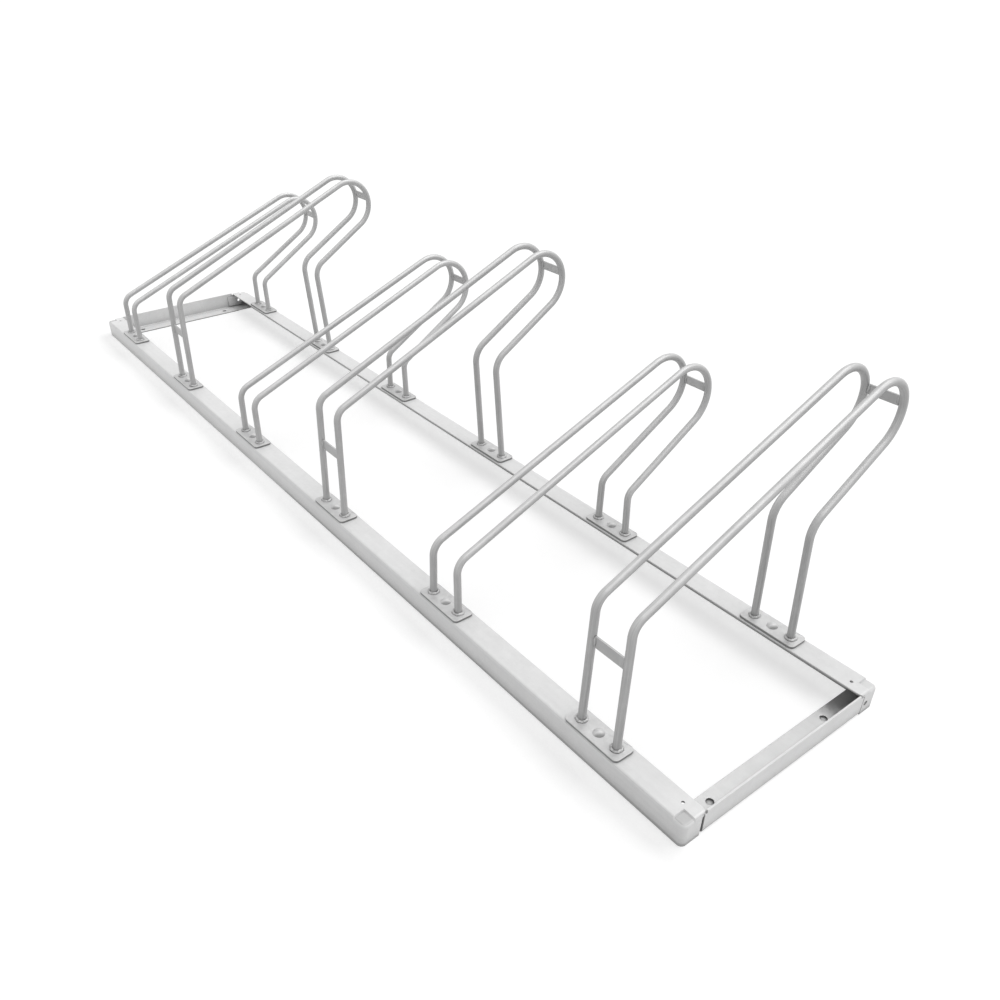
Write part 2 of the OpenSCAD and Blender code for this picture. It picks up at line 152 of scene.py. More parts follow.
SHEET_EDGE_R = 0.6 * MM
PLATE_EDGE_R = 0.7 * MM
TIE_EDGE_R = 0.5 * MM
BOLT_EDGE_R = 0.4 * MM
WASHER_EDGE_R = 0.3 * MM
WELD_BEAD_R = 2.7 * MM
WELD_BEAD_RISE = 0.5 * MM
WELD_LUMPS = dict(depth=3.4 * MM, grain=5 * MM)
TIE_BEAD_HALF = (2.4 * MM, 2.1 * MM)
TIE_BEAD_SINK = 0.4 * MM
TIE_BEAD_SHARE = 0.47
TIE_LUMPS = dict(depth=1.6 * MM, grain=4 * MM)
TOP_BEND_STEPS = 40
BEND_STEP = 0.09
BEND_LEAST_STEPS = 6
SHARP_ANGLE = math.radians(40)

# holder profiles ---------------------------------------------------------

# their points are (distance behind the front foot, height)
TALL = dict(
    front=(6.5 * MM, 244 * MM),
    front_r=26 * MM,
    rear=(344.5 * MM, 248 * MM),
    rear_r=38 * MM,
    top=(450 * MM, 375 * MM),
    top_r=53 * MM,
    top_half=30 * MM,
    tie_angle=math.radians(12),
)
LOW = dict(
    front=(1.5 * MM, 133.5 * MM),
    front_r=28 * MM,
    rear=(359.5 * MM, 123.5 * MM),
    rear_r=22 * MM,
    top=(480 * MM, 263.5 * MM),
    top_r=56 * MM,
    top_half=28 * MM,
    tie_angle=math.radians(4),
)
TOP_TIE_W = 15 * MM
FRONT_TIE_W = 18 * MM
FRONT_TIE_Z = {2: 162 * MM, 4: 162 * MM, 6: 183 * MM}

# shop tools --------------------------------------------------------------

NEAR = 0.01 * MM
DRESSED = {}


def near(a, b):
    return abs(a - b) < NEAR


def begin(add, name, stretch=(1, 1, 1), **how):
    """Adds a primitive, puts its place into its mesh and opens it for editing."""
    bpy.ops.object.select_all(action="DESELECT")
    add(**how)
    piece = bpy.context.object
    piece.name = piece.data.name = name
    piece.scale = stretch
    bpy.ops.object.transform_apply(location=True, rotation=True, scale=True)
    bpy.ops.object.mode_set(mode="EDIT")
    return piece


def done():
    bpy.ops.object.mode_set(mode="OBJECT")


def pick(kind, test):
    """Selects the points, edges or faces whose middle passes the test."""
    bpy.ops.mesh.select_mode(type=kind)
    bpy.ops.mesh.select_all(action="DESELECT")
    mesh = bmesh.from_edit_mesh(bpy.context.edit_object.data)
    if kind == "VERT":
        for v in mesh.verts:
            v.select_set(test(v.co))
    elif kind == "EDGE":
        for e in mesh.edges:
            e.select_set(test((e.verts[0].co + e.verts[1].co) / 2, e))
    else:
        for f in mesh.faces:
            f.select_set(test(f.calc_center_median(), f.normal))
    bmesh.update_edit_mesh(bpy.context.edit_object.data)


def pick_all():
    bpy.ops.mesh.select_mode(type="VERT")
    bpy.ops.mesh.select_all(action="SELECT")


def extrude(by):
    bpy.ops.mesh.extrude_region_move(TRANSFORM_OT_translate={"value": by})


def spin(angle, centre, axis, steps):
    """Turns the picked edges by the right-hand rule; the operator turns the other way."""
    bpy.ops.mesh.spin(steps=steps, angle=-angle, center=centre, axis=axis)


def outwards():
    pick_all()
    bpy.ops.mesh.remove_doubles(threshold=1e-6)
    bpy.ops.mesh.normals_make_consistent(inside=False)


def only(piece):
    bpy.ops.object.select_all(action="DESELECT")
    piece.select_set(True)
    bpy.context.view_layer.objects.active = piece


def apply_modifier(piece, kind, **settings):
    only(piece)
    modifier = piece.modifiers.new(kind.lower(), kind)
    for name, value in settings.items():
        setattr(modifier, name, value)
    bpy.ops.object.modifier_apply(modifier=modifier.name)


def cut(piece, cutter):
    apply_modifier(piece, "BOOLEAN", object=cutter, operation="DIFFERENCE", solver="EXACT")
    bpy.data.objects.remove(cutter)


def soften(piece, width, segments=2):
    """Rounds the sharp edges a little, as the zinc coat does."""
    apply_modifier(
        piece,
        "BEVEL",
        width=width,
        segments=segments,
        limit_method="ANGLE",
        angle_limit=SHARP_ANGLE,
        use_clamp_overlap=True,
    )
    smooth(piece)
    apply_modifier(piece, "WEIGHTED_NORMAL", keep_sharp=True, weight=80)


def thicken(skin):
    """Gives an outer skin its sheet thickness, inwards."""
    apply_modifier(
        skin, "SOLIDIFY", thickness=SHEET, offset=-1, use_even_offset=True, use_quality_normals=True
    )


def roughen(piece, depth, grain):
    """Lumps a weld bead by its place in the frame, so that no two are alike."""
    lumps = bpy.data.textures.new("weld_lumps", "CLOUDS")
    lumps.noise_scale = grain
    lumps.noise_depth = 2
    apply_modifier(
        piece, "DISPLACE", texture=lumps, strength=depth, mid_level=0.5, texture_coords="LOCAL"
    )
    smooth(piece, angle=60)


def smooth(piece, angle=35):
    only(piece)
    bpy.ops.object.shade_smooth_by_angle(angle=math.radians(angle))


def copy_of(piece, name, matrix):
    """A copy with its own mesh, its place in the mesh."""
    twin = piece.copy()
    twin.data = piece.data.copy()
    twin.name = twin.data.name = name
    bpy.context.collection.objects.link(twin)
    twin.data.transform(matrix)
    if matrix.determinant() < 0:
        twin.data.flip_normals()
    return twin


def shift(x, y=0):
    return Matrix.Translation((x, y, 0))


def flip(axis):
    return Matrix.Scale(-1, 4, axis)


def joined(pieces, name):
    whole = pieces[0]
    only(whole)
    if len(pieces) > 1:
        for piece in pieces[1:]:
            piece.select_set(True)
        bpy.ops.object.join()
    whole.name = whole.data.name = name
    return whole


def drill(name, radius, depth, places, axis="Z"):
    """One cutter for several equal round holes."""
    turn = (0, math.pi / 2, 0) if axis == "X" else (0, 0, 0)
    drills = []
    for at in places:
        begin(
            bpy.ops.mesh.primitive_cylinder_add,
            name,
            vertices=40,
            radius=radius,
            depth=depth,
            location=at,
            rotation=turn,
        )
        done()
        drills.append(bpy.context.object)
    return joined(drills, name)


def holder_x(n):
    return (n - MIDDLE) * PITCH


def fit(piece, solid, slot):
    """Puts a piece in its solid's place and notes which finish it takes."""
    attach(piece, "root")
    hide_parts(solid)
    DRESSED[piece.name] = slot


# rails -------------------------------------------------------------------


def front_rail_sheet():
    """A block gets rounded edges, is opened to a skin, gets its corner pads, then its thickness."""
    inner_y = -FACE_Y + RAIL
    rail = begin(
        bpy.ops.mesh.primitive_cube_add,
        "front_rail_sheet",
        size=1,
        location=(0, (inner_y - FACE_Y) / 2, RAIL / 2),
        stretch=(2 * END_X, RAIL, RAIL),
    )
    pick("EDGE", lambda m, e: near(m.y, -FACE_Y) and near(abs(m.x), END_X))
    bpy.ops.mesh.bevel(offset=END_FOLD_R, segments=8, affect="EDGES")
    pick("EDGE", lambda m, e: near(m.z, RAIL) and m.y < inner_y - NEAR)
    bpy.ops.mesh.bevel(offset=FOLD_R, segments=6, affect="EDGES")
    pick("FACE", lambda m, n: near(m.z, 0) or near(m.y, inner_y))
    bpy.ops.mesh.delete(type="FACE")
    for side in (-1, 1):
        for x in (END_X - PAD, END_X - PAD + PAD_SLOPE):
            pick_all()
            bpy.ops.mesh.bisect(plane_co=(side * x, 0, 0), plane_no=(1, 0, 0))
    for y in (PAD - FACE_Y, PAD - PAD_SLOPE - FACE_Y):
        pick_all()
        bpy.ops.mesh.bisect(plane_co=(0, y, 0), plane_no=(0, 1, 0))
    pick(
        "VERT",
        lambda v: abs(v.x) > END_X - PAD + PAD_SLOPE - NEAR
        and v.y < PAD - PAD_SLOPE - FACE_Y + NEAR
        and v.z > RAIL - FOLD_R - NEAR,
    )
    bpy.ops.transform.translate(value=(0, 0, -PAD_DROP))
    outwards()
    done()
    thicken(rail)
    for side in (-1, 1):
        cut(rail, flap_cutter(side))
        cut(rail, corner_cutter(side, inner_y))
    return rail


def flap_cutter(side):
    """Takes away what lies beyond the flap's upright edge."""
    cutter = begin(
        bpy.ops.mesh.primitive_cube_add,
        "flap_cutter",
        size=1,
        location=(side * END_X, FLAP - FACE_Y + RAIL / 2, (RAIL - FOLD_R) / 2 - SHEET),
        stretch=(4 * FOLD_R - 2 * SHEET, RAIL, RAIL - FOLD_R + 2 * SHEET),
    )
    done()
    return cutter


def corner_cutter(side, inner_y):
    """Takes the square corner off the rail's top and leaves it round."""
    r = RAIL_CORNER_R
    cutter = begin(
        bpy.ops.mesh.primitive_cube_add,
        "corner_cutter",
        size=1,
        location=(side * END_X, inner_y, RAIL),
        stretch=(2 * r, 2 * r, 4 * SHEET + 2 * FOLD_R),
    )
    done()
    rounding = drill("corner_round", r, 2 * RAIL, [(side * (END_X - r), inner_y - r, RAIL)])
    cut(cutter, rounding)
    return cutter


def drill_rail(rail, is_rear):
    sheet_z = RAIL - SHEET / 2
    turn = -1 if is_rear else 1
    bolts = [(holder_x(n), -turn * FOOT_Y, sheet_z) for n in HOLDERS]
    cut(rail, drill("bolt_drill", BOLT_HOLE_R, 3 * SHEET, bolts))
    drain_x, drain_y = END_X - DRAIN_FROM_END, turn * (DRAIN_FROM_FACE - FACE_Y)
    drains = [(s * drain_x, drain_y, sheet_z) for s in (-1, 1)]
    cut(rail, drill("drain_drill", DRAIN_R, 3 * SHEET, drains))
    if is_rear:
        locks = [(s * END_X, FACE_Y - FLAP_HOLE_FROM_FACE, FLAP_HOLE_Z) for s in (-1, 1)]
        cut(rail, drill("lock_drill", FLAP_HOLE_R, 4 * SHEET, locks, axis="X"))
    soften(rail, SHEET_EDGE_R, segments=3)


front_rail = front_rail_sheet()
rear_rail = copy_of(front_rail, "rear_rail_sheet", flip((0, 1, 0)))
drill_rail(front_rail, is_rear=False)
drill_rail(rear_rail, is_rear=True)

# cross-members -----------------------------------------------------------


def right_cross_sheet():
    """The floor flange is laid flat, its edge turned up into the web, then it is made thick."""
    tab_x = END_X - SHEET
    inner_x = END_X - CROSS
    fold_x = END_X - FOLD_R
    middle_y = (WEB_FRONT_Y + WEB_REAR_Y) / 2
    half_y = (WEB_REAR_Y - WEB_FRONT_Y) / 2
    sheet = begin(
        bpy.ops.mesh.primitive_plane_add,
        "right_cross_member_sheet",
        size=1,
        location=((inner_x + tab_x) / 2, 0, 0),
        stretch=(tab_x - inner_x, 2 * CROSS_REACH, 1),
    )
    pick("VERT", lambda v: near(v.x, tab_x))
    bpy.ops.mesh.bevel(offset=END_FOLD_R, segments=1, affect="VERTICES")
    pick_all()
    bpy.ops.mesh.bisect(plane_co=(fold_x, 0, 0), plane_no=(1, 0, 0))
    for y in (WEB_FRONT_Y, -WEB_END_Y, WEB_END_Y, WEB_REAR_Y):
        pick_all()
        bpy.ops.mesh.bisect(plane_co=(0, y, 0), plane_no=(0, 1, 0))
    pick("FACE", lambda m, n: m.x > fold_x and abs(m.y - middle_y) < half_y)
    bpy.ops.mesh.delete(type="FACE")
    pick("EDGE", lambda m, e: near(m.x, fold_x) and abs(m.y - middle_y) < half_y)
    spin(-math.pi / 2, (fold_x, 0, FOLD_R), (0, 1, 0), steps=6)
    extrude((0, 0, WEB_LOW_TOP - FOLD_R))
    pick("EDGE", lambda m, e: near(m.z, WEB_LOW_TOP) and abs(m.y) < WEB_END_Y - NEAR)
    extrude((0, 0, RAIL - WEB_LOW_TOP))
    outwards()
    done()
    thicken(sheet)
    anchors = [(END_X - ANCHOR_FROM_END, s * ANCHOR_Y, SHEET / 2) for s in (-1, 1)]
    cut(sheet, drill("anchor_drill", ANCHOR_R, 3 * SHEET, anchors))
    tabs = [lapped_tab(tab_x, side) for side in (-1, 1)]
    lock = [(END_X - SHEET, FACE_Y - FLAP_HOLE_FROM_FACE, FLAP_HOLE_Z)]
    cut(tabs[1], drill("lock_drill", FLAP_HOLE_R, 6 * SHEET, lock, axis="X"))
    sheet = joined([sheet, *tabs], "right_cross_member_sheet")
    soften(sheet, SHEET_EDGE_R, segments=3)
    return sheet


def lapped_tab(tab_x, side):
    """The tab behind the web's end, its leading corners clipped so that it enters the rail."""
    tab = begin(
        bpy.ops.mesh.primitive_cube_add,
        "lapped_tab",
        size=1,
        location=(tab_x - SHEET / 2, side * (TAB_FROM_Y + TAB_END_Y) / 2, (FOLD_R + TAB_TOP) / 2),
        stretch=(SHEET, TAB_END_Y - TAB_FROM_Y, TAB_TOP - FOLD_R),
    )
    pick("EDGE", lambda m, e: near(m.y, side * TAB_END_Y) and near(m.x, tab_x - SHEET / 2))
    bpy.ops.mesh.bevel(offset=2 * SHEET, segments=1, affect="EDGES")
    done()
    return tab


right_cross = right_cross_sheet()
left_cross = copy_of(right_cross, "left_cross_member_sheet", flip((1, 0, 0)))

# wheel holders -----------------------------------------------------------


def lean_of(form):
    return math.asin((FOOT_HALF - form["top_half"]) / (form["top"][1] - PLATE_TOP))


class Leaning:
    """The plane in which a holder's right rod is bent, leaning inward from its foot."""

    def __init__(self, form):
        self.lean = lean_of(form)
        self.normal = Vector((math.cos(self.lean), 0, math.sin(self.lean)))

    def point(self, p):
        rise = p[1] - PLATE_TOP
        x = FOOT_HALF - rise * math.sin(self.lean)
        return Vector((x, p[0] - FOOT_Y, PLATE_TOP + rise * math.cos(self.lean)))

    def along(self, v):
        return Vector((-v[1] * math.sin(self.lean), v[0], v[1] * math.cos(self.lean)))


def turn_between(a, b):
    """The signed angle from one profile direction to the next, left turns positive."""
    return math.atan2(a.x * b.y - a.y * b.x, a.dot(b))


def bend_rod(plane, corner, before, after, radius):
    """Bends the picked ring round a corner; it stands where the bend starts."""
    a = (corner - before).normalized()
    b = (after - corner).normalized()
    turn = turn_between(a, b)
    inward = Vector((-a.y, a.x)) * (1 if turn > 0 else -1)
    start = corner - a * radius * math.tan(abs(turn) / 2)
    spin_in(plane, turn, start + inward * radius, max(BEND_LEAST_STEPS, int(abs(turn) / BEND_STEP)))


def spin_in(plane, turn, centre, steps):
    spin(turn, plane.point(centre), plane.normal, steps)


def tangent_point(p, centre, radius, way):
    """Where the line from a profile point touches the top bend."""
    away = p - centre
    bearing = math.atan2(away.y, away.x) + way * math.acos(radius / away.length)
    return centre + radius * Vector((math.cos(bearing), math.sin(bearing)))


def bent_rod(name, form):
    """A ring is pushed along the legs and spun round the bends, foot to foot."""
    plane = Leaning(form)
    foot = Vector((0, PLATE_TOP))
    front = Vector(form["front"])
    rear = Vector(form["rear"])
    last = Vector((2 * FOOT_Y, PLATE_TOP))
    top = Vector(form["top"])
    up = tangent_point(front, top, form["top_r"], -1)
    down = tangent_point(rear, top, form["top_r"], 1)

    def reach(corner, before, after, radius):
        turn = turn_between((corner - before).normalized(), (after - corner).normalized())
        return radius * math.tan(abs(turn) / 2)

    front_cut = reach(front, foot, up, form["front_r"])
    rear_cut = reach(rear, down, last, form["rear_r"])
    leg = (front - foot).normalized()
    below = foot - leg * ROD_R
    rod = begin(
        bpy.ops.mesh.primitive_circle_add,
        name,
        vertices=32,
        radius=ROD_R - BEND_THIN,
        location=plane.point(below),
        rotation=plane.along(leg).to_track_quat("Z", "X").to_euler(),
        fill_type="NOTHING",
    )
    pick_all()

    def push(start, end, trim_start=0, trim_end=0):
        way = end - start
        extrude(plane.along(way.normalized() * (way.length - trim_start - trim_end)))

    push(below, front, trim_end=front_cut)
    bend_rod(plane, front, foot, up, form["front_r"])
    push(front, up, trim_start=front_cut)
    sweep = turn_between((up - front).normalized(), (rear - down).normalized())
    sweep = sweep - 2 * math.pi if sweep > 0 else sweep
    spin_in(plane, sweep, top, TOP_BEND_STEPS)
    push(down, rear, trim_end=rear_cut)
    bend_rod(plane, rear, down, last, form["rear_r"])
    push(rear, last + (last - rear).normalized() * ROD_R, trim_start=rear_cut)
    pick_all()
    bpy.ops.mesh.bisect(
        plane_co=(0, 0, PLATE_TOP), plane_no=(0, 0, 1), use_fill=True, clear_inner=True
    )
    outwards()
    done()
    smooth(rod, angle=40)
    return rod


def half_free(form, z):
    """Half the free width between a holder's rods at a height."""
    lean = lean_of(form)
    return FOOT_HALF - (z - PLATE_TOP) * math.tan(lean) - ROD_R / math.cos(lean) - TIE_GAP


def flat_tie(name, form, y, z, width):
    """A flat bar, cut to the rods' lean, with a run of weld at each end."""
    bar = begin(
        bpy.ops.mesh.primitive_cube_add,
        name,
        size=1,
        location=(0, y, z),
        stretch=(2 * FOOT_HALF, TIE_T, width),
    )
    for end, high in ((-1, False), (-1, True), (1, False), (1, True)):
        edge_z = z + (width / 2 if high else -width / 2)
        pick("VERT", lambda v: v.x * end > 0 and near(v.z, edge_z))
        change = half_free(form, edge_z) - FOOT_HALF
        bpy.ops.transform.translate(value=(end * change, 0, 0))
    done()
    soften(bar, TIE_EDGE_R)
    corners = [(end, face) for end in (-1, 1) for face in (-1, 1)]
    beads = [tie_bead(form, end, y + face * TIE_T / 2, z, width) for end, face in corners]
    return joined([bar, *beads], name)


def tie_bead(form, end, y, z, width):
    """A short run of weld in the corner between a rod and the bar's face."""
    bead = begin(
        bpy.ops.mesh.primitive_uv_sphere_add,
        "tie_bead",
        segments=16,
        ring_count=14,
        radius=1,
        location=(end * (half_free(form, z) - TIE_BEAD_SINK), y, z),
        stretch=(*TIE_BEAD_HALF, TIE_BEAD_SHARE * width),
    )
    done()
    roughen(bead, **TIE_LUMPS)
    return bead


tall_rod = bent_rod("tall_rod", TALL)
low_rod = bent_rod("low_rod", LOW)

# foot plates -------------------------------------------------------------


def foot_plate():
    plate = begin(
        bpy.ops.mesh.primitive_cube_add,
        "foot_plate",
        size=1,
        location=(0, -FOOT_Y, PLATE_TOP - PLATE[2] / 2),
        stretch=PLATE,
    )
    pick("EDGE", lambda m, e: near(m.z, PLATE_TOP - PLATE[2] / 2))
    bpy.ops.mesh.bevel(offset=PLATE_CORNER_R, segments=8, affect="EDGES")
    done()
    begin(
        bpy.ops.mesh.primitive_cube_add,
        "neck_punch",
        size=1,
        location=(0, -FOOT_Y, PLATE_TOP - PLATE[2] / 2),
        stretch=(2 * BOLT_R + 2 * NECK_GAP, 2 * BOLT_R + 2 * NECK_GAP, 2 * PLATE[2]),
    )
    done()
    cut(plate, bpy.context.object)
    soften(plate, PLATE_EDGE_R, segments=3)
    return plate


def weld_ring(name, x):
    """A bead laid round a rod's foot: a small ring spun round the rod."""
    middle_r = ROD_R + WELD_LEG - WELD_BEAD_R
    bead = begin(
        bpy.ops.mesh.primitive_circle_add,
        name,
        vertices=14,
        radius=WELD_BEAD_R,
        location=(x + middle_r, -FOOT_Y, PLATE_TOP + WELD_BEAD_RISE),
        rotation=(math.pi / 2, 0, 0),
        fill_type="NOTHING",
    )
    pick_all()
    spin(2 * math.pi, (x, -FOOT_Y, 0), (0, 0, 1), steps=56)
    outwards()
    done()
    return bead


plate = foot_plate()
weld = weld_ring("foot_weld", FOOT_HALF)

# bolts -------------------------------------------------------------------


def plate_bolt():
    ball_r = (HEAD_R**2 + HEAD_H**2) / (2 * HEAD_H)
    head = begin(
        bpy.ops.mesh.primitive_uv_sphere_add,
        "bolt",
        segments=48,
        ring_count=64,
        radius=ball_r,
        location=(0, -FOOT_Y, PLATE_TOP + HEAD_H - ball_r),
    )
    pick_all()
    bpy.ops.mesh.bisect(
        plane_co=(0, 0, PLATE_TOP), plane_no=(0, 0, 1), use_fill=True, clear_inner=True
    )
    done()
    neck = begin(
        bpy.ops.mesh.primitive_cube_add,
        "neck",
        size=1,
        location=(0, -FOOT_Y, PLATE_TOP - NECK_H / 2),
        stretch=(2 * BOLT_R, 2 * BOLT_R, NECK_H),
    )
    done()
    shank = begin(
        bpy.ops.mesh.primitive_cylinder_add,
        "shank",
        vertices=32,
        radius=BOLT_R,
        depth=PLATE_TOP - NECK_H - BOLT_END,
        location=(0, -FOOT_Y, (PLATE_TOP - NECK_H + BOLT_END) / 2),
    )
    done()
    bolt = joined([head, neck, shank], "bolt")
    soften(bolt, BOLT_EDGE_R)
    return bolt


def plate_washer():
    washer = begin(
        bpy.ops.mesh.primitive_cylinder_add,
        "washer",
        vertices=48,
        radius=WASHER_R,
        depth=WASHER_T,
        location=(0, -FOOT_Y, NUT_TOP + WASHER_T / 2),
    )
    done()
    cut(washer, drill("bore", BOLT_HOLE_R, 3 * WASHER_T, [(0, -FOOT_Y, NUT_TOP)]))
    soften(washer, WASHER_EDGE_R)
    return washer


def plate_nut():
    nut = begin(
        bpy.ops.mesh.primitive_cylinder_add,
        "nut",
        vertices=6,
        radius=NUT_HALF / math.cos(math.pi / 6),
        depth=NUT_H,
        location=(0, -FOOT_Y, NUT_TOP - NUT_H / 2),
    )
    done()
    cut(nut, drill("bore", BOLT_R + NUT_GAP, 3 * NUT_H, [(0, -FOOT_Y, NUT_TOP)]))
    soften(nut, BOLT_EDGE_R)
    return nut


bolt, washer, nut = plate_bolt(), plate_washer(), plate_nut()

# assembly ----------------------------------------------------------------

fit(front_rail, "front_rail", "zinc_sheet")
fit(rear_rail, "rear_rail", "zinc_sheet")
fit(right_cross, "right_cross_member", "zinc_sheet")
fit(left_cross, "left_cross_member", "zinc_sheet")

for n in HOLDERS:
    tall = n % 2 == 0
    form = TALL if tall else LOW
    along = shift(holder_x(n))
    rod = tall_rod if tall else low_rod
    for word, mirror in (("right", Matrix()), ("left", flip((1, 0, 0)))):
        piece = copy_of(rod, f"holder_{n}_{word}_bent_rod", along @ mirror)
        fit(piece, f"holder_{n}_{word}_rod", "zinc_rod")
    for word, back in (("front", 0), ("rear", 2 * FOOT_Y)):
        at = along @ shift(0, back)
        beads = [copy_of(weld, "weld", at), copy_of(weld, "weld", at @ flip((1, 0, 0)))]
        for bead in beads:
            roughen(bead, **WELD_LUMPS)
        piece = joined([copy_of(plate, "plate", at), *beads], f"holder_{n}_{word}_welded_plate")
        fit(piece, f"holder_{n}_{word}_plate", "zinc_plate")
    angle = form["tie_angle"]
    tie_y = form["top"][0] + form["top_r"] * math.cos(angle) - FOOT_Y
    tie_z = form["top"][1] + form["top_r"] * math.sin(angle)
    tie = flat_tie(f"holder_{n}_top_flat_tie", form, tie_y, tie_z, TOP_TIE_W)
    tie.data.transform(along)
    fit(tie, f"holder_{n}_top_tie", "zinc_rod")
    if n in FRONT_TIE_Z:
        z = FRONT_TIE_Z[n]
        rise = (z - PLATE_TOP) / (form["front"][1] - PLATE_TOP)
        leg_y = form["front"][0] * rise - FOOT_Y
        tie = flat_tie(f"holder_{n}_front_flat_tie", form, leg_y, z, FRONT_TIE_W)
        tie.data.transform(along)
        fit(tie, f"holder_{n}_front_tie", "zinc_rod")

places = [shift(holder_x(n), back) for n in HOLDERS for back in (0, 2 * FOOT_Y)]
for part, solid in ((bolt, "plate_bolts"), (washer, "plate_washers"), (nut, "plate_nuts")):
    copies = [copy_of(part, "copy", at) for at in places]
    fit(joined(copies, f"{solid}_set"), solid, "zinc_bolt")

for spare in (tall_rod, low_rod, plate, weld, bolt, washer, nut):
    bpy.data.objects.remove(spare)

# finishes ----------------------------------------------------------------


def new_group(name, inputs, outputs):
    """A shared effect; gives the tree, its input node and its output node."""
    tree = bpy.data.node_groups.new(name, "ShaderNodeTree")
    for word, kind, value in inputs:
        socket = tree.interface.new_socket(word, in_out="INPUT", socket_type=kind)
        socket.default_value = value
    for word, kind in outputs:
        tree.interface.new_socket(word, in_out="OUTPUT", socket_type=kind)
    return tree, tree.nodes.new("NodeGroupInput"), tree.nodes.new("NodeGroupOutput")


def node(tree, kind, **settings):
    made = tree.nodes.new(kind)
    for name, value in settings.items():
        setattr(made, name, value)
    return made


def wire(tree, source, target):
    """Links a socket to a socket, or sets the target to a plain value."""
    if isinstance(source, bpy.types.NodeSocket):
        tree.links.new(source, target)
    else:
        target.default_value = source


def maths(tree, operation, a, b=0.0):
    made = node(tree, "ShaderNodeMath", operation=operation)
    wire(tree, a, made.inputs[0])
    wire(tree, b, made.inputs[1])
    return made.outputs[0]


def times(tree, a, b):
    return maths(tree, "MULTIPLY", a, b)


def plus(tree, a, b):
    return maths(tree, "ADD", a, b)


def spread(tree, value, low, high, to_low, to_high):
    """Maps a value from one range to another, held at both ends."""
    made = node(tree, "ShaderNodeMapRange", clamp=True)
    for socket, given in zip(made.inputs, (value, low, high, to_low, to_high)):
        wire(tree, given, socket)
    return made.outputs[0]


def between(tree, value, low, high, soft):
    """1 where a value lies between two others, with soft ends."""
    rising = spread(tree, value, low - soft, low, 0.0, 1.0)
    falling = spread(tree, value, high, high + soft, 1.0, 0.0)
    return times(tree, rising, falling)


def darkened(tree, shade, mask, by):
    """Takes a share off a shade where the mask is 1."""
    return times(tree, shade, maths(tree, "SUBTRACT", 1.0, times(tree, mask, by)))


def noise(tree, vector, scale, detail, roughness):
    made = node(tree, "ShaderNodeTexNoise")
    wire(tree, vector, made.inputs["Vector"])
    wire(tree, scale, made.inputs["Scale"])
    wire(tree, detail, made.inputs["Detail"])
    wire(tree, roughness, made.inputs["Roughness"])
    return made.outputs["Fac"]


def stretched(tree, vector, by):
    made = node(tree, "ShaderNodeVectorMath", operation="MULTIPLY")
    wire(tree, vector, made.inputs[0])
    made.inputs[1].default_value = by
    return made.outputs[0]


def taken_apart(tree, vector):
    made = node(tree, "ShaderNodeSeparateXYZ")
    wire(tree, vector, made.inputs[0])
    return made.outputs


def open_share(tree, reach, samples):
    """How open a point is to its surroundings within a reach, 1 where nothing is near."""
    made = node(tree, "ShaderNodeAmbientOcclusion", samples=samples)
    made.inputs["Distance"].default_value = reach
    return made.outputs["AO"]


FLOAT, VECTOR = "NodeSocketFloat", "NodeSocketVector"


def mottle_group():
    """The coat itself: soft clouds, faint crystals and a fine grain."""
    tree, given, out = new_group(
        "zinc_mottle",
        [("Vector", VECTOR, (0, 0, 0)), ("Clouds", FLOAT, 0.1), ("Crystals", FLOAT, 0.03)],
        [("Shade", FLOAT), ("Roughness", FLOAT), ("Height", FLOAT)],
    )
    at = given.outputs["Vector"]
    clouds = noise(tree, at, scale=26, detail=6, roughness=0.62)
    patches = noise(tree, at, scale=120, detail=4, roughness=0.6)
    grain = noise(tree, at, scale=1100, detail=2, roughness=0.5)
    crystals = node(tree, "ShaderNodeTexVoronoi", feature="F1")
    wire(tree, at, crystals.inputs["Vector"])
    crystals.inputs["Scale"].default_value = 150
    split = node(tree, "ShaderNodeSeparateColor")
    wire(tree, crystals.outputs["Color"], split.inputs[0])
    soft = plus(tree, times(tree, clouds, 0.65), times(tree, patches, 0.35))
    soft = spread(tree, soft, 0.3, 0.7, -0.5, 0.5)
    shade = times(tree, soft, given.outputs["Clouds"])
    facet = maths(tree, "SUBTRACT", split.outputs[0], 0.5)
    shade = plus(tree, shade, times(tree, facet, given.outputs["Crystals"]))
    specks = times(tree, maths(tree, "SUBTRACT", grain, 0.5), 0.05)
    shade = plus(tree, shade, specks)
    wire(tree, plus(tree, shade, 1.0), out.inputs["Shade"])
    rough = spread(tree, patches, 0.3, 0.7, -0.07, 0.07)
    wire(tree, plus(tree, rough, times(tree, facet, 0.05)), out.inputs["Roughness"])
    height = plus(tree, times(tree, patches, 0.7), times(tree, grain, 0.3))
    wire(tree, height, out.inputs["Height"])
    return tree


def streak_group():
    """Drag lines: long along the metal, narrow across it."""
    tree, given, out = new_group(
        "drawn_streaks",
        [("Vector", VECTOR, (0, 0, 0)), ("Depth", FLOAT, 0.1)],
        [("Shade", FLOAT), ("Height", FLOAT)],
    )
    lines = noise(tree, given.outputs["Vector"], scale=1, detail=4, roughness=0.65)
    centred = spread(tree, lines, 0.28, 0.72, -0.5, 0.5)
    shade = plus(tree, times(tree, centred, given.outputs["Depth"]), 1.0)
    wire(tree, shade, out.inputs["Shade"])
    wire(tree, lines, out.inputs["Height"])
    return tree


def corner_shade_group():
    """Painted shade: darker where a surface lies deep in a corner or under something."""
    tree, given, out = new_group(
        "corner_painted_shade", [("Open", FLOAT, 1.0), ("Depth", FLOAT, 0.5)], [("Shade", FLOAT)]
    )
    hidden = spread(tree, given.outputs["Open"], 0.15, 0.8, 1.0, 0.0)
    shade = darkened(tree, 1.0, hidden, given.outputs["Depth"])
    wire(tree, shade, out.inputs["Shade"])
    return tree


MOTTLE, STREAKS, CORNER_SHADE = mottle_group(), streak_group(), corner_shade_group()

